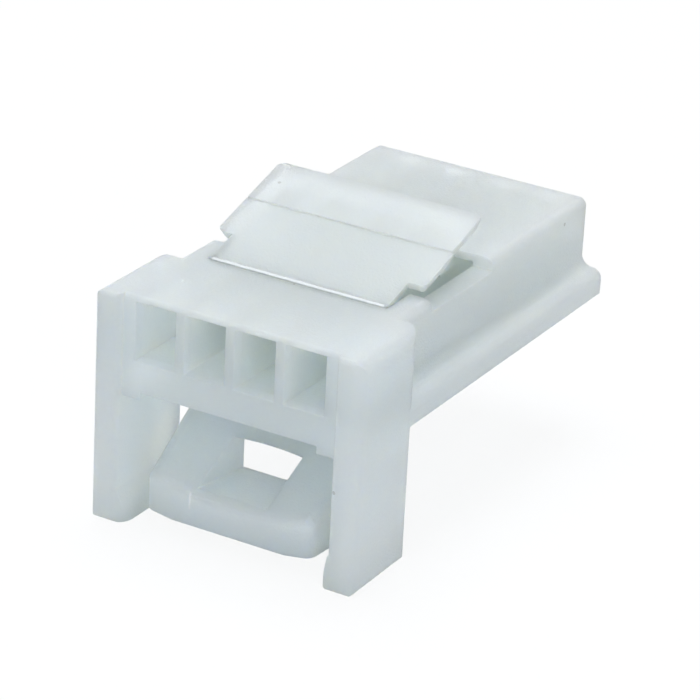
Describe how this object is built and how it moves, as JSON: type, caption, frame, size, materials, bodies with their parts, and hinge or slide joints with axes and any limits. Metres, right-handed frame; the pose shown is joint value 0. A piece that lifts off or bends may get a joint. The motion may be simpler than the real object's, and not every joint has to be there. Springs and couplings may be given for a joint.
{
  "type": "wire to board connector housing",
  "caption": "Plastic wire to board connector housing: slab with contact cavities, collar with guard legs, lock lever underneath and a hinged contact retainer on top.",
  "frame": {"origin": "middle of the mating face: across, on the web between the two middle contacts, and halfway up the slab", "axes": "+Y is the direction the housing moves to mate with the board header, +Z is the retainer's side, +X runs along the row of contacts"},
  "size_m": [0.0108, 0.018, 0.0105],
  "materials": {
    "nylon": "natural nylon, slightly see-through, satin from the mould"
  },
  "bodies": {
    "housing": {"housing": "nylon"},
    "retainer": {"retainer": "nylon"}
  },
  "joints": [
    {"name": "retainer_hinge", "type": "hinge", "parent": "housing", "child": "retainer", "pos_m": [0, -0.0133, 0.0017], "axis": [1, 0, 0], "range_deg": [-16.5, 0], "stiffness_Nm_per_rad": 0.001}
  ]
}
